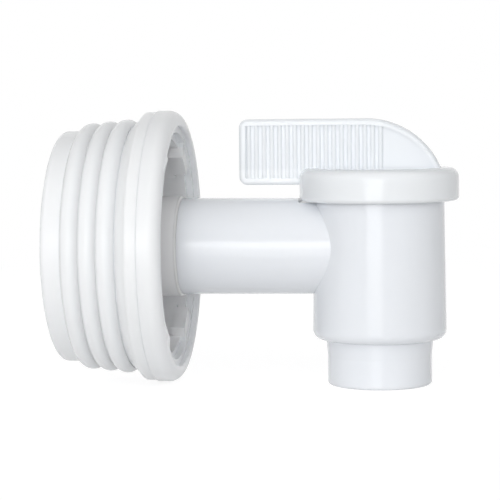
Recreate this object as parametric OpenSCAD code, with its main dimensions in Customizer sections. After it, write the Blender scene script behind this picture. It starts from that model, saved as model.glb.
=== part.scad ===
// Tap adapter for a bulk container outlet: a ribbed plug that holds a plastic quarter-turn tap.
// Frame: millimetres, +X along the plug's axis from the container to the tap, +Z up.
// Origin: on the plug's axis, in the plane where the flange bears on its sealing ring.

/* [Adapter plug] */
// Diameter over the crest of the middle rib
rib_crest_d = 59.4; // [49:0.1:72]
// Number of ring ribs
rib_count = 3; // [2:1:4]
// Distance from one rib to the next
rib_pitch = 4.15; // [3.4:0.05:5]
// Radius of the rounded crest of a rib
rib_round = 2.5; // [2:0.1:3.2]
// Growth in crest radius from one rib to the next, towards the flange
rib_step = 0.4; // [0:0.05:0.6]
// Radius by which the plain neck under the ribs lies below the middle crest
rib_depth = 1.5; // [1.2:0.1:2]
// Radius by which the plain lead-in collar lies below the middle crest
lead_in_drop = 2.25; // [1.8:0.05:4]
// Length of the lead-in collar
lead_in_len = 5; // [3:0.1:9]
// Rounding of the lead-in collar's end edge
lead_in_round = 1.3; // [0.5:0.1:2]
// Wall between the main recess and the lead-in collar's outside
plug_wall = 2; // [1.6:0.1:3]
// Thickness of the floor that closes the plug at the container end
plug_floor = 3; // [2:0.1:5]

/* [Flange] */
// Radius by which the flange stands out beyond its sealing ring
flange_proud = 0.3; // [0.2:0.05:3]
// Thickness of the flange
flange_t = 5.05; // [4.2:0.05:8]
// Rounding of the flange's outer front edge
flange_round = 2.75; // [0.8:0.05:2.9]
// Radial width of the lip round the recess mouth
lip_w = 3.65; // [3.6:0.05:6]
// Rounding of the lip's inner edge
lip_round = 0.6; // [0.3:0.05:0.7]
// Depth of the mouth, down to its first ledge
mouth_depth = 1.3; // [0.8:0.1:2]
// Radial width of the first ledge
ledge_w = 1.5; // [0.5:0.1:1.6]
// Depth of the second ledge below the first
ledge_drop = 1.5; // [0.8:0.1:2]

/* [Wrench lugs] */
// Angle of the lugs above and below the level plane through the axis
lug_angle = 55; // [45:0.5:65]
// Angle that one lug spans round the axis
lug_span = 19; // [12:0.5:28]
// Extra angle that a lug's foot spans on the side near the level plane
lug_foot_span = 4; // [2:0.5:12]
// Angle by which the foot's other side stands in from the lug's side
lug_foot_inset = 2; // [1:0.5:4]
// Radial height of a lug above the recess wall
lug_h = 2.5; // [1.5:0.1:4]
// Radial step from the lug's face down to its foot's face
lug_foot_drop = 0.4; // [0.2:0.1:0.8]
// Length of a lug along the axis
lug_len = 3.4; // [2:0.1:5]
// Length of the lug's wider foot behind it
lug_foot_len = 3.2; // [2:0.1:6]
// Depth of the lug's front face below the lip
lug_setback = 1.5; // [0.6:0.1:3]

/* [Boss and tail joint] */
// Bore of the tap's tail
tail_bore_d = 13.6; // [11:0.1:16.4]
// Wall of the tail, up to the outside of its thread
tail_wall = 2.2; // [1.8:0.1:3]
// Distance from the plug's container end to the tail's end
tail_inset = 7.55; // [4:0.05:12]
// Radial clearance of the tail in the boss
tail_gap = 0.05; // [0.03:0.01:0.1]
// Thickness of the tail's sealing ring
tail_ring_t = 1.6; // [1.2:0.05:2]
// Wall of the boss outside the sealing ring's seat
boss_lip = 1.26; // [1:0.02:3]
// Height of the boss's end above the lip plane
boss_proud = 0.35; // [0:0.05:2]
// Rounding of the boss's end edge
boss_round = 0.55; // [0.3:0.05:0.7]
// Radius by which the hole through the plug's floor is wider than the tail's bore
inlet_step = 0.2; // [0.1:0.05:1]

/* [Sealing ring] */
// Radius by which the sealing ring stands out beyond the middle crest
seal_proud = 2.1; // [1.2:0.05:4]
// Length of the ring along the axis
seal_t = 5.45; // [4.5:0.05:7]
// Length of the ring's tapered face
seal_taper = 2.65; // [1.5:0.05:3.2]
// Rounding where the tapered face meets the outside
seal_round = 0.9; // [0.4:0.1:1.4]
// Width of the flat at the ring's thin end
seal_toe = 0.2; // [0.1:0.05:0.5]
// Gap between the ring's thin end and the last rib
seal_toe_gap = 0.25; // [0.1:0.05:0.5]
// Radial step from the plain neck up to the ring's seat
seal_seat_step = 0.5; // [0.3:0.05:1]
// Radial gap of the ring on its seat
seal_gap = 0.05; // [0.02:0.01:0.2]

/* [Tube] */
// Distance from the flange's sealing plane to the barrel's axis
barrel_x = 51.8; // [42:0.1:70]
// Radius by which the tube's shoulder covers the seat of the tail's sealing ring
tube_cover = 0.76; // [0.4:0.02:1.2]
// Wall of the tube at the boss
tube_wall = 2.6; // [1.8:0.1:3.4]
// Loss of radius from the boss to the barrel
tube_taper = 0.2; // [0:0.05:0.5]
// Length of the tail's narrower bore inside the tube
tube_step_len = 1.5; // [1:0.1:4]

/* [Barrel and spout] */
// Bore that the rotor turns in
barrel_bore_d = 25.2; // [23.5:0.1:30.4]
// Wall of the barrel under the cap
barrel_wall = 2.6; // [2:0.05:4]
// Growth in radius from the cap down to the barrel's foot
barrel_draft = 0.45; // [0.1:0.05:1]
// Height of the barrel's foot below the tube's axis
barrel_drop = 21.7; // [18:0.1:28]
// Rounding of the barrel's foot
barrel_round = 2.3; // [1:0.1:2.6]
// Thickness of the floor under the rotor
barrel_floor = 2.5; // [1.8:0.1:4]
// Bore of the spout
spout_bore_d = 19.8; // [16:0.1:23]
// Wall of the spout
spout_wall = 2.3; // [1.6:0.1:3]
// Growth in radius to where the spout meets the barrel
spout_flare = 0.35; // [0.1:0.05:0.8]
// Length of the spout's flared stretch
spout_flare_len = 4; // [2:0.1:5]
// Length of the spout below the barrel
spout_len = 10.7; // [7:0.1:20]
// Rounding of the spout's end
spout_round = 0.7; // [0.3:0.1:1]
// Radius by which the bead that the cap snaps over stands out from the barrel
bead_proud = 1.3; // [0.8:0.05:2]
// Height of the bead
bead_h = 1.4; // [1:0.1:2]

/* [Rotor] */
// Radial running clearance of the rotor in the barrel
rotor_gap = 0.08; // [0.02:0.01:0.1]
// Wall of the rotor
rotor_wall = 2.62; // [2.2:0.02:3.4]
// Diameter of the rotor's side port
port_d = 15; // [11:0.1:18]
// Thickness of a rotor sealing ring
rotor_ring_t = 1.44; // [1.2:0.02:1.8]
// Slack of a sealing ring in its groove, along the axis
rotor_ring_slack = 0.3; // [0.1:0.05:0.5]
// Distance from the port's edge to the middle of a sealing ring
rotor_ring_inset = 3.7; // [1.5:0.1:5]
// Thickness of the rotor's roof under the cap
rotor_roof_t = 2; // [1.5:0.1:4]

/* [Cap] */
// Depth by which the cap's skirt reaches below the crown of the tube
skirt_dip = 0.7; // [0.2:0.05:1.2]
// Wall of the skirt
skirt_wall = 1.6; // [1.2:0.05:3]
// Radial gap between the barrel's bead and the inside of the skirt
snap_slack = 0.5; // [0.4:0.05:0.8]
// Height of the lip that hooks under the barrel's bead
snap_lip_h = 1.5; // [1:0.1:2]
// Thickness of the cap's top under the dish
cap_top_t = 2.3; // [1.8:0.1:3]
// Rounding of the cap's top edge
cap_round = 2.3; // [0.8:0.1:2.8]
// Rounding of the cap's bottom edge
cap_foot_round = 1; // [0.3:0.1:1.4]
// Width of the raised rim round the dish in the cap's top
cap_rim = 4.1; // [3:0.1:6]
// Depth of the dish
dish_depth = 0.9; // [0.4:0.1:1.4]
// Height of the stop lug on top of the barrel
stop_h = 0.8; // [0.5:0.05:2]
// Angle that the stop lug spans
stop_span = 20; // [10:1:40]
// Turn of the lever between its stops, in degrees
lever_travel = 90; // [60:1:120]

/* [Fin lever] */
// Reach of the lever from the barrel's axis
fin_reach = 32.7; // [26:0.1:44]
// Height of the fin's lower edge above the cap's lower edge
fin_rise = 3.8; // [2.5:0.1:5]
// Height of the fin
fin_h = 15.35; // [12:0.05:22]
// Thickness of the fin over its border
fin_t = 4.2; // [3:0.1:6]
// Width of the raised border
fin_border = 1.5; // [1:0.1:2.5]
// Depth of the panel below the border, on each side
fin_panel_drop = 0.6; // [0.3:0.05:1]
// Width by which the panel runs into the border
panel_lap = 0.6; // [0.4:0.05:0.8]
// Rounding of the fin's two back corners
fin_corner = 1.9; // [1.6:0.1:3]
// Rounding of the border's edges
fin_edge = 0.75; // [0.4:0.05:1]
// Radius of the arc that closes the fin at the front
fin_arc = 19; // [17:0.5:26]
// Distance of that arc's centre behind the barrel's axis
fin_arc_x = 3.1; // [0:0.1:6]
// Distance between grip ribs
grip_pitch = 1.82; // [1.4:0.02:3]
// Position of the first grip rib in front of the barrel's axis
grip_x = 0.5; // [-3:0.1:3]
// Radius of a grip rib
grip_r = 0.55; // [0.3:0.05:0.8]

/* [Hidden] */
$fn = 128;

// Depth by which joined shapes run into each other
bite = 0.4;
// Gap kept between faces that pass each other as the lever turns
run_gap = 0.35;
// Ease round the hidden sealing rings
ring_ease = 0.02;
// Gap between the tail's end and the step at the bottom of the boss
tail_end_gap = 0.3;
// Distance of the stops from the barrel's bore and from its outside
stop_margin_in = 0.8;
stop_margin_out = 0.1;
// Turn by which the stop window is wider than the travel, at each end
stop_slack = 1;
white = [0.95, 0.96, 0.97];
seal_white = [0.90, 0.92, 0.93];
ring_grey = [0.55, 0.56, 0.57];

// Plug
mid_crest_r = rib_crest_d / 2;
neck_r = mid_crest_r - rib_depth;
seal_seat_r = neck_r + seal_seat_step;
lead_in_r = mid_crest_r - lead_in_drop;
ribs_end = -seal_t - seal_toe_gap;
ribs_start = ribs_end - rib_count * rib_pitch;
plug_end = ribs_start - lead_in_len;
recess_r = lead_in_r - plug_wall;
recess_floor = plug_end + plug_floor;
seal_r = mid_crest_r + seal_proud;
flange_r = seal_r + flange_proud;
mouth_r = flange_r - lip_w;
ledge_1_x = flange_t - mouth_depth;
ledge_2_x = ledge_1_x - ledge_drop;
lug_front = flange_t - lug_setback;
lug_r = recess_r - lug_h;

// Boss, tail and tube
tail_bore_r = tail_bore_d / 2;
inlet_r = tail_bore_r + inlet_step;
tail_r = tail_bore_r + tail_wall;
tail_end = plug_end + tail_inset;
boss_step = tail_end - tail_end_gap;
tail_ring_r = tail_ring_t / 2;
tail_ring_seat_r = tail_r + tail_ring_t + 2 * ring_ease;
tail_ring_seat_depth = tail_ring_t + 2 * ring_ease;
boss_r = tail_ring_seat_r + boss_lip;
boss_end = flange_t + boss_proud;
tube_r_boss = tail_ring_seat_r + tube_cover;
tube_r_barrel = tube_r_boss - tube_taper;
tube_bore_r = tube_r_boss - tube_wall;

// Barrel, from the cap's lower edge down
cap_z = tube_r_boss - skirt_dip;
barrel_bore_r = barrel_bore_d / 2;
barrel_r_top = barrel_bore_r + barrel_wall;
barrel_r_foot = barrel_r_top + barrel_draft;
barrel_foot_z = -barrel_drop;
barrel_floor_z = barrel_foot_z + barrel_floor;
spout_bore_r = spout_bore_d / 2;
spout_r = spout_bore_r + spout_wall;
spout_root_r = spout_r + spout_flare;
spout_end_z = barrel_foot_z - spout_len;
bead_r = barrel_r_top + bead_proud;
bead_z = cap_z + snap_lip_h + run_gap;
barrel_top_z = bead_z + bead_h;

// Cap, from the barrel's top up
cap_under_z = barrel_top_z + stop_h + run_gap;
dish_floor_z = cap_under_z + cap_top_t;
cap_top_z = dish_floor_z + dish_depth;
skirt_r = bead_r + snap_slack;
cap_r = skirt_r + skirt_wall;
dish_r = cap_r - cap_rim;
snap_lip_r = barrel_r_top + run_gap;
stop_in_r = barrel_bore_r + stop_margin_in;
stop_out_r = barrel_r_top - stop_margin_out;

// Rotor
rotor_r = barrel_bore_r - rotor_gap;
rotor_bore_r = rotor_r - rotor_wall;
port_r = port_d / 2;
rotor_foot_z = barrel_floor_z + run_gap;
rotor_bore_top_z = cap_under_z - rotor_roof_t;
rotor_ring_z = port_r + rotor_ring_inset;
rotor_ring_r = rotor_ring_t / 2;
ring_groove_r = rotor_r - rotor_ring_t - ring_ease;
ring_groove_w = rotor_ring_t + rotor_ring_slack;

// Fin
fin_z = cap_z + fin_rise;
fin_top_z = fin_z + fin_h;
fin_arc_z = fin_top_z - fin_arc;
fin_panel_t = fin_t - 2 * fin_panel_drop;
fin_inset = fin_border - panel_lap;
grip_count = floor((grip_x + fin_reach - fin_border - grip_r) / grip_pitch) + 1;
// Level at which the fin's foot ends inside the top of the cap
fin_sink_z = dish_floor_z - bite;

// Turns a shape that is built up along +Z so that it runs along +X
module along_x() {
    rotate([0, 90, 0]) children();
}

// Part of a ring between two radii, from z0 up by len, from angle a0 through span
module ring_sector(r_in, r_out, z0, len, a0, span) {
    rotate([0, 0, a0])
        rotate_extrude(angle = span)
            translate([r_in, z0]) square([r_out - r_in, len]);
}

// Rectangle against the axis whose outer top corner is rounded
module round_top_band(r, z0, z1, round_r) {
    translate([0, z0]) square([r, z1 - z0 - round_r]);
    translate([0, z0]) square([r - round_r, z1 - z0]);
    intersection() {
        translate([r - round_r, z1 - round_r]) circle(r = round_r);
        translate([0, z0]) square([r, z1 - z0]);
    }
}

// Rectangle against the axis whose outer bottom corner is rounded
module round_foot_band(r, z0, z1, round_r) {
    translate([0, z0 + round_r]) square([r, z1 - z0 - round_r]);
    translate([0, z0]) square([r - round_r, z1 - z0]);
    intersection() {
        translate([r - round_r, z0 + round_r]) circle(r = round_r);
        translate([0, z0]) square([r, z1 - z0]);
    }
}

// Rounded ribs, cut off square in front of the sealing ring's thin end
module rib_outline() {
    intersection() {
        for (i = [0 : rib_count - 1])
            translate([mid_crest_r + (i - (rib_count - 1) / 2) * rib_step - rib_round,
                       ribs_start + (i + 0.5) * rib_pitch])
                circle(r = rib_round);
        translate([0, plug_end]) square([flange_r, ribs_end - plug_end]);
    }
}

// Outside of the plug: collar, ribs, neck and flange, as a section against the axis
module plug_outline() {
    round_foot_band(lead_in_r, plug_end, ribs_start + bite, lead_in_round);
    rib_outline();
    translate([0, ribs_start + rib_pitch / 2]) square([neck_r, -ribs_start - rib_pitch / 2]);
    translate([0, ribs_end]) square([seal_seat_r, bite - ribs_end]);
    round_top_band(flange_r, 0, flange_t, flange_round);
}

// Hollow of the plug: stepped mouth, ledges and main recess
module recess_outline() {
    translate([0, recess_floor]) square([recess_r, flange_t - recess_floor + bite]);
    translate([0, ledge_2_x]) square([mouth_r - ledge_w, flange_t - ledge_2_x + bite]);
    translate([0, ledge_1_x]) square([mouth_r, flange_t - ledge_1_x + bite]);
    lip_rounding();
}

// The corner that is taken off the lip to round it
module lip_rounding() {
    difference() {
        translate([mouth_r - bite, flange_t - lip_round]) square([lip_round + bite, lip_round + bite]);
        translate([mouth_r + lip_round, flange_t - lip_round]) circle(r = lip_round);
    }
}

// One wrench lug with its wider foot; hand is 1 or -1 for the side its foot points to
module wrench_lug(hand) {
    foot_start = -lug_span / 2 + (hand > 0 ? lug_foot_inset : -lug_foot_span);
    ring_sector(lug_r, mouth_r + bite, lug_front - lug_len, lug_len, -lug_span / 2, lug_span);
    ring_sector(lug_r + lug_foot_drop, recess_r + bite, lug_front - lug_len - lug_foot_len + bite,
                lug_foot_len, foot_start, lug_span + lug_foot_span - lug_foot_inset);
}

module adapter_plug() {
    color(white) along_x()
        difference() {
            union() {
                difference() {
                    rotate_extrude() plug_outline();
                    rotate_extrude() recess_outline();
                }
                rotate_extrude() round_top_band(boss_r, plug_end + plug_floor / 2, boss_end, boss_round);
                for (side = [90, -90], hand = [-1, 1])
                    rotate([0, 0, side + hand * lug_angle]) wrench_lug(-hand);
            }
            translate([0, 0, boss_step]) cylinder(r = tail_r + tail_gap, h = boss_end - boss_step + bite);
            translate([0, 0, plug_end - bite]) cylinder(r = inlet_r, h = boss_step - plug_end + 2 * bite);
            translate([0, 0, boss_end - tail_ring_seat_depth])
                cylinder(r = tail_ring_seat_r, h = tail_ring_seat_depth + bite);
        }
}

// Section of the sealing ring: a tapered face on the container side, a flat against the flange
module seal_section() {
    in_r = seal_seat_r + seal_gap;
    difference() {
        union() {
            polygon([[in_r, -seal_t], [in_r + seal_toe, -seal_t],
                     [seal_r - seal_round / 2, -seal_t + seal_taper], [seal_r - seal_round, 0],
                     [in_r, 0]]);
            translate([in_r, -seal_t + seal_taper + seal_round / 2])
                square([seal_r - in_r, seal_t - seal_taper - seal_round]);
            translate([in_r, -seal_round]) square([seal_r - in_r - seal_round / 2, seal_round]);
            translate([seal_r - seal_round / 2, -seal_round / 2]) circle(r = seal_round / 2);
            translate([seal_r - seal_round, -seal_t + seal_taper + seal_round / 2]) circle(r = seal_round);
        }
        translate([in_r, 0]) square([seal_r, seal_round]);
    }
}

module flange_seal() {
    color(seal_white) along_x() rotate_extrude() seal_section();
}

// Outside of the barrel, spout and bead, as a section against the upright axis
module barrel_outline() {
    translate([0, barrel_foot_z]) square([barrel_r_foot - barrel_round, barrel_round + bite]);
    translate([barrel_r_foot - barrel_round, barrel_foot_z + barrel_round]) circle(r = barrel_round);
    polygon([[0, barrel_foot_z + barrel_round], [barrel_r_foot, barrel_foot_z + barrel_round],
             [barrel_r_top, cap_z], [barrel_r_top, bead_z + bite], [0, bead_z + bite]]);
    round_top_band(bead_r, bead_z, barrel_top_z, bead_h / 2);
    round_foot_band(spout_r, spout_end_z, barrel_foot_z + bite, spout_round);
    polygon([[0, barrel_foot_z - spout_flare_len], [spout_r, barrel_foot_z - spout_flare_len],
             [spout_root_r, barrel_foot_z], [0, barrel_foot_z + bite]]);
}

// Tube and tail, along +X from the tail's end to the barrel
module tube_outside() {
    along_x() {
        translate([0, 0, tail_end]) cylinder(r = tail_r, h = boss_end - tail_end + bite);
        translate([0, 0, boss_end])
            cylinder(r1 = tube_r_boss, r2 = tube_r_barrel, h = barrel_x - boss_end);
    }
}

// Shallow cut in the crown of the tube that lets the cap's skirt sweep over it
module skirt_relief() {
    translate([barrel_x, 0, cap_z - run_gap])
        difference() {
            cylinder(r = cap_r + run_gap, h = tube_r_boss);
            translate([0, 0, -bite]) cylinder(r = barrel_r_top - bite, h = tube_r_boss + 2 * bite);
        }
}

module tap_body() {
    color(white) difference() {
        union() {
            difference() {
                tube_outside();
                skirt_relief();
            }
            translate([barrel_x, 0, 0]) rotate_extrude() barrel_outline();
            translate([barrel_x, 0, 0])
                ring_sector(stop_in_r, stop_out_r, barrel_top_z - bite, stop_h + bite,
                            -stop_span / 2, stop_span);
        }
        translate([barrel_x, 0, barrel_floor_z])
            cylinder(r = barrel_bore_r, h = cap_under_z - barrel_floor_z);
        translate([barrel_x, 0, spout_end_z - bite])
            cylinder(r = spout_bore_r, h = barrel_floor_z - spout_end_z + 2 * bite);
        along_x() {
            translate([0, 0, tail_end - bite])
                cylinder(r = tail_bore_r, h = boss_end + tube_step_len - tail_end + 2 * bite);
            translate([0, 0, boss_end + tube_step_len])
                cylinder(r = tube_bore_r, h = barrel_x - boss_end - tube_step_len);
        }
    }
}

// Ring of round section whose inner radius is r_in
module o_ring(r_in, section_r) {
    rotate_extrude() translate([r_in + section_r, 0]) circle(r = section_r, $fn = 48);
}

module tail_o_ring() {
    color(ring_grey) translate([boss_end - tail_ring_r - ring_ease, 0, 0]) along_x()
        o_ring(tail_r + ring_ease, tail_ring_r);
}

// Cap with its rounded edges and dish, as a section against the upright axis
module cap_outline() {
    difference() {
        intersection() {
            round_top_band(cap_r, cap_z, cap_top_z, cap_round);
            round_foot_band(cap_r, cap_z, cap_top_z + bite, cap_foot_round);
        }
        translate([0, dish_floor_z]) square([dish_r, dish_depth + bite]);
        translate([0, cap_z - bite]) square([snap_lip_r, cap_under_z - cap_z + bite]);
        translate([0, cap_z + snap_lip_h]) square([skirt_r, cap_under_z - cap_z - snap_lip_h]);
    }
}

// Rotor with its two ring grooves, as a section against the upright axis
module rotor_outline() {
    difference() {
        translate([0, rotor_foot_z]) square([rotor_r, cap_under_z + bite - rotor_foot_z]);
        for (z = [-rotor_ring_z, rotor_ring_z])
            translate([ring_groove_r, z - ring_groove_w / 2]) square([rotor_ring_t * 2, ring_groove_w]);
    }
}

// Inner ring of the cap that meets the barrel's stop lug at both ends of the travel
module stop_ring() {
    window = stop_span + lever_travel + 2 * stop_slack;
    ring_sector(stop_in_r, stop_out_r, barrel_top_z + run_gap, stop_h + bite,
                window - stop_span / 2 - stop_slack, 360 - window);
}

// Section of the fin's border: rounded outer edges at x = 0, inside towards -x
module border_section() {
    half = fin_t / 2;
    translate([-fin_border, -half + fin_edge]) square([fin_border, fin_t - 2 * fin_edge]);
    translate([-fin_border, -half]) square([fin_border - fin_edge, fin_t]);
    for (s = [-1, 1]) translate([-fin_edge, s * (half - fin_edge)]) circle(r = fin_edge);
}

// Straight stretch of border from the origin along +X, its outside facing +Z
module border_bar(len) {
    rotate([0, 90, 0]) linear_extrude(len) rotate([0, 0, 180]) border_section();
}

// Quarter turn of border of outer radius r, in the X-Z plane, from angle a0
module border_bend(r, a0) {
    rotate([90, 0, 0]) rotate([0, 0, a0]) rotate_extrude(angle = 90)
        translate([r, 0]) border_section();
}

// Border all round the fin, from the cap at the back, over the top, down to the cap in front
module fin_frame() {
    back_x = -fin_reach + fin_corner;
    translate([back_x, 0, fin_top_z]) border_bar(fin_reach - fin_corner - fin_arc_x);
    intersection() {
        translate([-fin_arc_x, 0, fin_arc_z]) border_bend(fin_arc, 0);
        translate([-fin_arc_x, -fin_t, fin_sink_z]) cube([2 * fin_arc, 2 * fin_t, fin_arc]);
    }
    translate([back_x, 0, fin_top_z - fin_corner]) border_bend(fin_corner, 90);
    translate([-fin_reach, 0, fin_z + fin_corner]) rotate([0, -90, 0])
        border_bar(fin_h - 2 * fin_corner);
    translate([back_x, 0, fin_z + fin_corner]) border_bend(fin_corner, 180);
    mirror([0, 0, 1]) translate([back_x, 0, -fin_z])
        border_bar(fin_reach - fin_corner - cap_r + cap_round);
}

// Flat outline of the fin's panel, drawn in the X-Z plane, running half way under the border
module panel_outline() {
    translate([-fin_reach + fin_inset, fin_z + fin_inset])
        square([fin_reach - fin_inset - fin_arc_x, fin_h - 2 * fin_inset]);
    intersection() {
        translate([-fin_arc_x, fin_arc_z]) circle(r = fin_arc - fin_inset);
        translate([-fin_arc_x - bite, fin_sink_z]) square([2 * fin_arc, fin_h]);
    }
}

// Panel with upright grip ribs on both faces
module fin_panel() {
    rotate([90, 0, 0]) linear_extrude(fin_panel_t, center = true) panel_outline();
    for (i = [0 : grip_count - 1], s = [-1, 1])
        translate([grip_x - i * grip_pitch, s * fin_panel_t / 2, fin_z + fin_border - bite])
            cylinder(r = grip_r, h = fin_h - 2 * (fin_border - bite), $fn = 24);
}

// Fin lever, hollowed where it would reach inside the cap
module fin() {
    difference() {
        union() {
            fin_frame();
            fin_panel();
        }
        cylinder(r = skirt_r + bite, h = cap_under_z + bite);
    }
}

module lever_rotor() {
    color(white) translate([barrel_x, 0, 0])
        difference() {
            union() {
                rotate_extrude() cap_outline();
                rotate_extrude() rotor_outline();
                stop_ring();
                fin();
            }
            translate([0, 0, rotor_foot_z - bite])
                cylinder(r = rotor_bore_r, h = rotor_bore_top_z - rotor_foot_z + bite);
            rotate([0, -90, 0]) cylinder(r = port_r, h = barrel_bore_r + bite);
        }
}

module rotor_o_ring(z) {
    color(ring_grey) translate([barrel_x, 0, z]) o_ring(ring_groove_r + ring_ease / 2, rotor_ring_r);
}

module rotor_o_ring_upper() {
    rotor_o_ring(rotor_ring_z);
}

module rotor_o_ring_lower() {
    rotor_o_ring(-rotor_ring_z);
}

adapter_plug();
flange_seal();
tap_body();
tail_o_ring();
lever_rotor();
rotor_o_ring_upper();
rotor_o_ring_lower();
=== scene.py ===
"""Looks of the white plastic tap adapter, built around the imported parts.

The parts keep their place and shape. This script dresses each of them in its own
finish and sets the floor, the lights and the camera around them.
"""

import logging
import math
from dataclasses import dataclass, field
from enum import Enum

import bpy
from mathutils import Matrix, Vector


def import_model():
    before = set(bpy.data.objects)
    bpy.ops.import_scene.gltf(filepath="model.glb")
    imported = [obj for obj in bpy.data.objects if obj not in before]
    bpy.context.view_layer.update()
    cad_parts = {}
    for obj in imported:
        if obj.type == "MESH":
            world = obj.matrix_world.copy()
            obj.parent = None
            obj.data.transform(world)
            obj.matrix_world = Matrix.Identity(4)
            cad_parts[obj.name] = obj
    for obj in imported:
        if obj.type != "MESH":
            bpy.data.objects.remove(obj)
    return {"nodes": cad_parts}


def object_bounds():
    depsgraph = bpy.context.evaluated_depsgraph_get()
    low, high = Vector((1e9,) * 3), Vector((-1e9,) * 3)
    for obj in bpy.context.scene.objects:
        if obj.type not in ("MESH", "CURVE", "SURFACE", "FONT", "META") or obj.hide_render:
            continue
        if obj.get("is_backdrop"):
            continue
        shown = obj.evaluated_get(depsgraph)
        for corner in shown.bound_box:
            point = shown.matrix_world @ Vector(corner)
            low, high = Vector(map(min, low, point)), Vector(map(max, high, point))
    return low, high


MM = 0.001
WHITE = (1.0, 1.0, 1.0, 1.0)
log = logging.getLogger("tap_adapter")

Colour = tuple[float, float, float]
Triple = tuple[float, float, float]


class Value:
    """One socket of a shader graph, which takes part in Python's sums."""

    def __init__(self, graph: "Graph", socket: bpy.types.NodeSocket) -> None:
        """Keeps the graph and the socket."""
        self.graph = graph
        self.socket = socket

    def math(self, operation: str, *others: "Value | float", clamp: bool = False) -> "Value":
        """Adds a Math node.

        Args:
            operation: the node's operation, as Blender names it.
            others: the node's second and third values.
            clamp: whether the result stays between 0 and 1.

        Returns:
            The node's result.
        """
        settings = {"operation": operation, "use_clamp": clamp}
        return self.graph.node("ShaderNodeMath", settings, dict(enumerate((self, *others))))

    def __add__(self, other: "Value | float") -> "Value":
        """Gives this value plus another."""
        return self.math("ADD", other)

    __radd__ = __add__

    def __sub__(self, other: "Value | float") -> "Value":
        """Gives this value minus another."""
        return self.math("SUBTRACT", other)

    def __rsub__(self, other: float) -> "Value":
        """Gives a number minus this value."""
        return self.math("MULTIPLY_ADD", -1.0, other)

    def __mul__(self, other: "Value | float") -> "Value":
        """Gives this value times another."""
        return self.math("MULTIPLY", other)

    __rmul__ = __mul__

    def __truediv__(self, other: "Value | float") -> "Value":
        """Gives this value divided by another."""
        return self.math("DIVIDE", other)

    def __pow__(self, other: float) -> "Value":
        """Gives this value to a power."""
        return self.math("POWER", other)

    def clamped(self) -> "Value":
        """Gives this value held between 0 and 1."""
        return self.math("ADD", 0.0, clamp=True)

    def ramp(self, low: float, high: float) -> "Value":
        """Gives a smooth step, up or down.

        Args:
            low: the value at which the step begins.
            high: the value at which it has reached 1, which may be the smaller of the two.

        Returns:
            The step, as a value between 0 and 1.
        """
        if low > high:
            return 1.0 - self.ramp(high, low)
        return self.graph.node("ShaderNodeMapRange", {"interpolation_type": "SMOOTHSTEP"},
                               {"Value": self, "From Min": low, "From Max": high})


class Graph:
    """The nodes of one material or world.

    The Mix node has sockets for each kind of value, so those for colours are named by number.
    """

    mix_colour_in = (6, 7)
    mix_colour_out = 2

    def __init__(self, tree: bpy.types.NodeTree) -> None:
        """Empties the tree and keeps it."""
        self.tree = tree
        tree.nodes.clear()

    def node(self, kind: str, settings: dict | None = None, inputs: dict | None = None,
             output: int | str = 0) -> Value:
        """Adds one node.

        Args:
            kind: the node's type.
            settings: the node's own settings, which are set first.
            inputs: values or links, by the socket's name or number.
            output: the name or number of the socket that is handed back.

        Returns:
            The node's output.
        """
        made = self.tree.nodes.new(kind)
        for name, value in (settings or {}).items():
            setattr(made, name, value)
        for name, value in (inputs or {}).items():
            if isinstance(value, Value):
                self.tree.links.new(value.socket, made.inputs[name])
            else:
                made.inputs[name].default_value = value
        return Value(self, made.outputs[output])

    def place(self) -> Value:
        """Gives the point on the object, in metres in the object's own frame."""
        return self.node("ShaderNodeTexCoord", output="Object")

    def axis(self, point: Value, name: str) -> Value:
        """Gives one coordinate of a point, named X, Y or Z."""
        return self.node("ShaderNodeSeparateXYZ", inputs={0: point}, output=name)

    def noise(self, point: Value, grain_mm: float, detail: float = 2.0) -> Value:
        """Gives soft noise.

        Args:
            point: where it is looked up.
            grain_mm: the size of one grain.
            detail: how many finer layers are added.

        Returns:
            The noise, around 0.5.
        """
        return self.node("ShaderNodeTexNoise", inputs={
            "Vector": point, "Scale": 1.0 / (grain_mm * MM), "Detail": detail})

    def blend(self, share: Value, low: "Value | Colour", high: "Value | Colour") -> Value:
        """Mixes two colours.

        Args:
            share: how much of the second colour shows.
            low: the first colour.
            high: the second colour.

        Returns:
            The mixed colour.
        """
        ends = {socket: colour if isinstance(colour, Value) else (*colour, 1.0)
                for socket, colour in zip(self.mix_colour_in, (low, high))}
        return self.node("ShaderNodeMix", {"data_type": "RGBA"}, {0: share, **ends}, self.mix_colour_out)

    def bump(self, height: Value, depth_mm: float, below: Value | None = None) -> Value:
        """Turns heights into a normal.

        Args:
            height: the height, between 0 and 1.
            depth_mm: how high a height of 1 stands.
            below: a normal that this one is laid over.

        Returns:
            The new normal.
        """
        sockets = {"Height": height, "Distance": depth_mm * MM}
        if below is not None:
            sockets["Normal"] = below
        return self.node("ShaderNodeBump", inputs=sockets)

    def surface(self, shader: Value) -> None:
        """Links a shader to the material's surface."""
        end = self.tree.nodes.new("ShaderNodeOutputMaterial")
        self.tree.links.new(shader.socket, end.inputs["Surface"])


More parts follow.
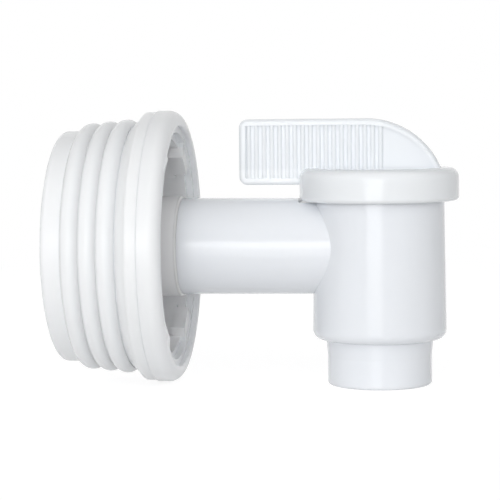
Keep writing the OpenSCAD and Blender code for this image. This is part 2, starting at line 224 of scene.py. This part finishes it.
@dataclass(frozen=True)
class MouldedPlastic:
    """Glossy white plastic as it comes out of a polished mould.

    Of the light that meets it, the share depth_share goes in and comes out about depth_mm away,
    alike in red, green and blue.
    """

    name: str
    light_tone: Colour = (0.864, 0.886, 0.922)
    dark_tone: Colour = (0.836, 0.860, 0.898)
    cloud_mm: float = 14.0
    cloud_detail: float = 3.0
    gloss: float = 0.14
    gloss_spread: float = 0.04
    smear_mm: float = 5.0
    smear_detail: float = 3.0
    grain_mm: float = 0.55
    grain_depth_mm: float = 0.004
    flow_mm: float = 9.0
    flow_detail: float = 1.0
    flow_depth_mm: float = 0.035
    index: float = 1.38
    depth_share: float = 0.5
    depth_mm: float = 1.5
    depth_spread: Triple = (1.0, 1.0, 1.0)

    def material(self) -> bpy.types.Material:
        """Builds the material.

        Returns:
            The new material.
        """
        made = bpy.data.materials.new(self.name)
        made.use_nodes = True
        graph = Graph(made.node_tree)
        point = graph.place()
        colour = self.tone(graph, point)
        smear = graph.noise(point, self.smear_mm, self.smear_detail)
        roughness = self.gloss + (smear - 0.5) * self.gloss_spread
        flow = graph.bump(graph.noise(point, self.flow_mm, self.flow_detail), self.flow_depth_mm)
        grain = graph.bump(graph.noise(point, self.grain_mm), self.grain_depth_mm, below=flow)
        graph.surface(graph.node("ShaderNodeBsdfPrincipled", inputs={
            "Base Color": colour, "Roughness": roughness, "Normal": grain, "IOR": self.index,
            "Subsurface Weight": self.depth_share, "Subsurface Radius": self.depth_spread,
            "Subsurface Scale": self.depth_mm * MM}))
        return made

    def tone(self, graph: Graph, point: Value) -> Value:
        """Gives the colour, with faint clouds in it.

        Args:
            graph: the material's nodes.
            point: the point on the object.

        Returns:
            The colour.
        """
        clouds = graph.noise(point, self.cloud_mm, self.cloud_detail)
        return graph.blend(clouds, self.dark_tone, self.light_tone)


@dataclass(frozen=True)
class RibbedPlastic(MouldedPlastic):
    """The same plastic, with painted shade between the plug's ribs and on its boss and painted light in its
    recess.

    Places along the plug are measured from where the flange bears on its sealing ring. One
    pitch runs from the middle of a groove to the middle of the next. The painted shade comes in over
    the first pair of shares of a pitch, and goes out again over the second.
    """

    ribs_start_mm: float = -18.15
    ribs_end_mm: float = -5.70
    pitch_mm: float = 4.15
    painted_shade_in: tuple[float, float] = (0.45, 1.0)
    painted_shade_out: tuple[float, float] = (0.16, 0.0)
    inside_r_mm: float = 26.5
    inside_edge_mm: float = 1.0
    # Painted shade, laid over the plug between its ribs.
    groove_painted_shade_tone: Colour = (0.790, 0.800, 0.810)
    recess_floor_mm: float = -20.5
    recess_r_mm: float = 25.5
    # Painted light, laid over the inside of the recess.
    recess_painted_light_tone: Colour = (0.968, 0.971, 0.982)
    boss_r_mm: float = 13.0
    # Painted shade, laid over the boss inside the recess.
    boss_painted_shade_tone: Colour = (0.872, 0.871, 0.876)
    recess_edge_mm: float = 0.5
    lip_start_mm: float = 4.5
    lip_edge_mm: float = 0.4
    # Painted shade, darker still, laid over the boss's rounded end, which dulls its highlight.
    lip_painted_shade_tone: Colour = (0.700, 0.702, 0.700)

    def tone(self, graph: Graph, point: Value) -> Value:
        """Gives the colour, by the place along the plug and the distance from its axis, with painted
        shade between the ribs and on the boss and painted light in the recess.

        Args:
            graph: the material's nodes.
            point: the point on the object.

        Returns:
            The colour.
        """
        along = graph.axis(point, "X")
        across, up = graph.axis(point, "Y"), graph.axis(point, "Z")
        radius = (across * across + up * up) ** 0.5
        clean = super().tone(graph, point)
        recess = self.recess(graph, along, radius, clean)
        # Painted shade between the ribs, laid over the recess's painted light and the boss's painted shade.
        return graph.blend(self.groove_shade(along, radius), recess, self.groove_painted_shade_tone)

    def groove_shade(self, along: Value, radius: Value) -> Value:
        """Gives the mask of the painted shade between the ribs.

        Args:
            along: the place along the plug.
            radius: the distance from the plug's axis.

        Returns:
            The mask.
        """
        start, end = self.ribs_start_mm * MM, self.ribs_end_mm * MM
        turn = ((along - start) / (self.pitch_mm * MM)).math("FRACT")
        groove = turn.ramp(*self.painted_shade_in).math("MAXIMUM", turn.ramp(*self.painted_shade_out))
        outside = radius.ramp((self.inside_r_mm - self.inside_edge_mm) * MM, self.inside_r_mm * MM)
        ribs = along.math("GREATER_THAN", start) * along.math("LESS_THAN", end)
        return groove * outside * ribs

    def recess(self, graph: Graph, along: Value, radius: Value, clean: Value) -> Value:
        """Lays painted light over the recess and painted shade over its boss and the boss's lip, on the
        clean colour.

        Args:
            graph: the material's nodes.
            along: the place along the plug.
            radius: the distance from the plug's axis.
            clean: the plug's own colour.

        Returns:
            The colour.
        """
        in_front = along.math("GREATER_THAN", self.recess_floor_mm * MM)
        edge = self.recess_edge_mm
        in_recess = in_front * radius.ramp((self.recess_r_mm + edge) * MM, self.recess_r_mm * MM)
        in_boss = in_front * radius.ramp((self.boss_r_mm + edge) * MM, self.boss_r_mm * MM)
        at_lip = along.ramp(self.lip_start_mm * MM, (self.lip_start_mm + self.lip_edge_mm) * MM)
        boss = graph.blend(at_lip, self.boss_painted_shade_tone, self.lip_painted_shade_tone)
        # Painted light in the recess, painted shade on the boss and darker painted shade on its lip.
        return graph.blend(in_boss, graph.blend(in_recess, clean, self.recess_painted_light_tone), boss)


@dataclass(frozen=True)
class LeverPlastic(MouldedPlastic):
    """The same plastic, with painted shade that makes the fin greyer than the cap, most past its grip ribs.
    """

    cap_top_mm: float = 17.6
    grip_end_mm: float = 52.6
    edge_mm: float = 1.0
    # Painted shade for the fin, and darker painted shade for it past its grip ribs.
    fin_painted_shade_tone: Colour = (0.835, 0.862, 0.893)
    plain_painted_shade_tone: Colour = (0.785, 0.810, 0.838)

    def tone(self, graph: Graph, point: Value) -> Value:
        """Gives the colour, with painted shade on the fin, by the height above the cap and the place along
        the fin.

        Args:
            graph: the material's nodes.
            point: the point on the object.

        Returns:
            The colour.
        """
        on_fin = graph.axis(point, "Z").ramp(self.cap_top_mm * MM, (self.cap_top_mm + self.edge_mm) * MM)
        past_grip = graph.axis(point, "X").ramp((self.grip_end_mm - self.edge_mm) * MM,
                                                (self.grip_end_mm + self.edge_mm) * MM)
        # Painted shade on the fin, darker past the grip ribs.
        fin = graph.blend(past_grip, self.fin_painted_shade_tone, self.plain_painted_shade_tone)
        return graph.blend(on_fin, super().tone(graph, point), fin)


@dataclass(frozen=True)
class SoftRubber:
    """Matt rubber of the hidden sealing rings."""

    name: str
    light_tone: Colour = (0.30, 0.31, 0.32)
    dark_tone: Colour = (0.22, 0.23, 0.24)
    grain_mm: float = 0.4
    grain_detail: float = 4.0
    grain_depth_mm: float = 0.01
    roughness: float = 0.62

    def material(self) -> bpy.types.Material:
        """Builds the material.

        Returns:
            The new material.
        """
        made = bpy.data.materials.new(self.name)
        made.use_nodes = True
        graph = Graph(made.node_tree)
        speck = graph.noise(graph.place(), self.grain_mm, self.grain_detail)
        graph.surface(graph.node("ShaderNodeBsdfPrincipled", inputs={
            "Base Color": graph.blend(speck, self.dark_tone, self.light_tone),
            "Roughness": self.roughness, "Normal": graph.bump(speck, self.grain_depth_mm)}))
        return made


class Finish(Enum):
    """The finishes that the pieces wear."""

    PLUG = RibbedPlastic("plug_plastic", light_tone=(0.935, 0.957, 0.980), dark_tone=(0.918, 0.941, 0.965),
                         gloss=0.26)
    SEAL = MouldedPlastic("seal_plastic", light_tone=(0.945, 0.966, 0.985), dark_tone=(0.930, 0.952, 0.972),
                          gloss=0.30, grain_depth_mm=0.006)
    TAP = MouldedPlastic("tap_plastic")
    LEVER = LeverPlastic("lever_plastic", light_tone=(0.890, 0.915, 0.945), dark_tone=(0.865, 0.890, 0.922))
    RING = SoftRubber("ring_rubber")


@dataclass
class Assembly:
    """Pieces of one sub-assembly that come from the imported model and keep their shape."""

    nodes: dict[str, bpy.types.Object]
    finishes: dict[str, Finish] = field(default_factory=dict)

    def dress(self) -> None:
        """Gives each piece its finish and reports it."""
        for name, finish in self.finishes.items():
            mesh = self.nodes[name].data
            mesh.materials.clear()
            mesh.materials.append(finish.value.material())
            log.info("%s wears %s", name, finish.value.name)


@dataclass
class PlugAssembly(Assembly):
    """The ribbed plug and the sealing ring against its flange."""

    finishes: dict[str, Finish] = field(default_factory=lambda: {
        "adapter_plug": Finish.PLUG, "flange_seal": Finish.SEAL})


@dataclass
class TapAssembly(Assembly):
    """The tap's body and the ring that seals its tail."""

    finishes: dict[str, Finish] = field(default_factory=lambda: {
        "tap_body": Finish.TAP, "tail_o_ring": Finish.RING})


@dataclass
class LeverAssembly(Assembly):
    """The lever with its cap and rotor, and the rings that seal the rotor."""

    finishes: dict[str, Finish] = field(default_factory=lambda: {
        "lever_rotor": Finish.LEVER, "rotor_o_ring_upper": Finish.RING,
        "rotor_o_ring_lower": Finish.RING})


def heading(azimuth_deg: float, elevation_deg: float) -> Vector:
    """Gives a direction as seen from the object.

    Args:
        azimuth_deg: the turn from the front towards the right.
        elevation_deg: the height above the level.

    Returns:
        The direction, of length 1.
    """
    across, up = math.radians(azimuth_deg), math.radians(elevation_deg)
    return Vector((math.sin(across) * math.cos(up), -math.cos(across) * math.cos(up), math.sin(up)))


@dataclass
class Studio:
    """The pale floor, the even light and the lamps.

    The floor shows white. Within shadow_radius of the object a share of it is a matt surface that
    takes the object's shadow, and floor_level is how bright that surface is where no shadow falls,
    so that the white beside it makes up the rest.
    """

    floor_z: float
    centre: Vector
    floor_sides: int = 96
    floor_radius: float = 4.0
    floor_tone: Colour = (0.86, 0.86, 0.86)
    floor_level: float = 0.42
    shadow_share: float = 0.3
    shadow_radius: float = 0.35
    ambient: float = 0.05

    def build_floor(self) -> None:
        """Lays the floor, which shows white to the camera and keeps the object's shadow."""
        bpy.ops.mesh.primitive_circle_add(
            vertices=self.floor_sides, radius=self.floor_radius, fill_type="NGON",
            location=(self.centre.x, self.centre.y, self.floor_z))
        floor = bpy.context.object
        floor.name = "studio_floor"
        made = bpy.data.materials.new("studio_floor")
        made.use_nodes = True
        graph = Graph(made.node_tree)
        matt = graph.node("ShaderNodeBsdfDiffuse", inputs={"Color": (*self.floor_tone, 1.0)})
        away = graph.node("ShaderNodeVectorMath", {"operation": "LENGTH"}, {0: graph.place()}, "Value")
        matt_share = away.ramp(self.shadow_radius, self.shadow_radius / 2) * self.shadow_share
        white = graph.node("ShaderNodeEmission", inputs={
            "Color": WHITE,
            "Strength": (1.0 - matt_share * self.floor_level) / (1.0 - matt_share)})
        share = self.seen_white(graph) * (1.0 - matt_share)
        graph.surface(graph.node("ShaderNodeMixShader", inputs={0: share, 1: matt, 2: white}))
        floor.data.materials.append(made)
        floor.visible_glossy = False
        floor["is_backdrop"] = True

    def seen_white(self, graph: Graph) -> Value:
        """Gives 1 for rays from the camera, and for those that gloss or clear stuff sends on."""
        sight = [graph.node("ShaderNodeLightPath", output=name)
                 for name in ("Is Camera Ray", "Is Glossy Ray", "Is Transmission Ray")]
        return (sight[0] + sight[1] + sight[2]).clamped()

    def build_world(self) -> None:
        """Sets the even light and the glows, and shows white to the rays of seen_white."""
        world = bpy.data.worlds.new("studio_world")
        bpy.context.scene.world = world
        world.use_nodes = True
        graph = Graph(world.node_tree)
        direction = graph.node("ShaderNodeTexCoord", output="Generated")
        level = self.ambient
        for glow in GLOWS:
            facing = graph.node("ShaderNodeVectorMath", {"operation": "DOT_PRODUCT"},
                                {0: direction, 1: heading(glow.azimuth_deg, glow.elevation_deg)}, "Value")
            level = level + facing.ramp(glow.start, glow.full) * glow.strength
        seen = self.seen_white(graph)
        strength = level + seen * (1.0 - level)
        light = graph.node("ShaderNodeBackground", inputs={"Color": WHITE, "Strength": strength})
        end = graph.tree.nodes.new("ShaderNodeOutputWorld")
        graph.tree.links.new(light.socket, end.inputs["Surface"])

    def add_lamp(self, lamp: "Lamp") -> None:
        """Hangs one lamp so that it faces the object."""
        data = bpy.data.lights.new(lamp.name, "AREA")
        data.shape = "RECTANGLE"
        data.size = lamp.width
        data.size_y = lamp.height
        data.energy = lamp.watts
        made = bpy.data.objects.new(lamp.name, data)
        bpy.context.scene.collection.objects.link(made)
        towards = heading(lamp.azimuth_deg, lamp.elevation_deg)
        made.location = self.centre + towards * lamp.distance
        made.rotation_euler = towards.to_track_quat("Z", "Y").to_euler()


@dataclass(frozen=True)
class Lamp:
    """A soft box that faces the object."""

    name: str
    azimuth_deg: float
    elevation_deg: float
    distance: float
    width: float
    height: float
    watts: float


@dataclass(frozen=True)
class Glow:
    """Soft light of the surroundings, strongest in one direction.

    It begins where the cosine of the angle from there is start, and is at its full strength
    where that cosine is full.
    """

    azimuth_deg: float
    elevation_deg: float
    start: float
    full: float
    strength: float


GLOWS = (
    Glow(azimuth_deg=0.0, elevation_deg=0.0, start=-0.5, full=1.0, strength=0.95),
    Glow(azimuth_deg=-2.0, elevation_deg=3.0, start=0.6, full=1.0, strength=0.53),
    Glow(azimuth_deg=-175.0, elevation_deg=8.0, start=0.8, full=1.0, strength=3.6),
)

LAMPS = (
    Lamp("camera_box", azimuth_deg=-3.0, elevation_deg=-3.5, distance=1.1, width=0.51, height=0.72,
         watts=6.3),
)


@dataclass(frozen=True)
class PhotoCamera:
    """The camera, set where the photograph was taken from.

    It looks along the direction that the two angles give, and the point at aim_mm, the middle of
    the barrel, lies aim_right_mm and aim_up_mm from the middle of the frame.
    """

    aim_mm: Triple = (51.8, 0.0, 0.0)
    azimuth_deg: float = 7.5
    elevation_deg: float = 4.33
    roll_deg: float = 0.59
    distance_mm: float = 419.4
    aim_right_mm: float = 30.326
    aim_up_mm: float = 0.664
    focal_px: float = 1789.4
    frame_px: float = 500.0
    sensor_mm: float = 36.0
    nearest: float = 0.01

    def build(self) -> None:
        """Makes the camera and lets the scene use it."""
        across, roll = math.radians(self.azimuth_deg), math.radians(self.roll_deg)
        back = heading(self.azimuth_deg, self.elevation_deg)
        right = Vector((math.cos(across), math.sin(across), 0.0))
        up = back.cross(right)
        place = Vector(self.aim_mm) - right * self.aim_right_mm - up * self.aim_up_mm
        place += back * self.distance_mm
        turned_right = right * math.cos(roll) - up * math.sin(roll)
        turned_up = right * math.sin(roll) + up * math.cos(roll)
        data = bpy.data.cameras.new("photo_camera")
        data.sensor_width = self.sensor_mm
        data.lens = self.focal_px / self.frame_px * self.sensor_mm
        data.clip_start = self.nearest
        camera = bpy.data.objects.new("photo_camera", data)
        bpy.context.scene.collection.objects.link(camera)
        axes = Matrix((turned_right, turned_up, back)).transposed()
        camera.matrix_world = Matrix.Translation(place * MM) @ axes.to_4x4()
        bpy.context.scene.camera = camera


def main() -> None:
    """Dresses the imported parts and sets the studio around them."""
    logging.basicConfig(level=logging.INFO, format="%(message)s")
    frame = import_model()
    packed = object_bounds()
    bpy.context.scene.view_settings.view_transform = "Standard"
    PhotoCamera().build()
    for assembly in (PlugAssembly, TapAssembly, LeverAssembly):
        assembly(frame["nodes"]).dress()
    low, high = packed
    studio = Studio(low[2], (Vector(low) + Vector(high)) / 2)
    studio.build_floor()
    studio.build_world()
    for lamp in LAMPS:
        studio.add_lamp(lamp)


if __name__ == "__main__":
    main()
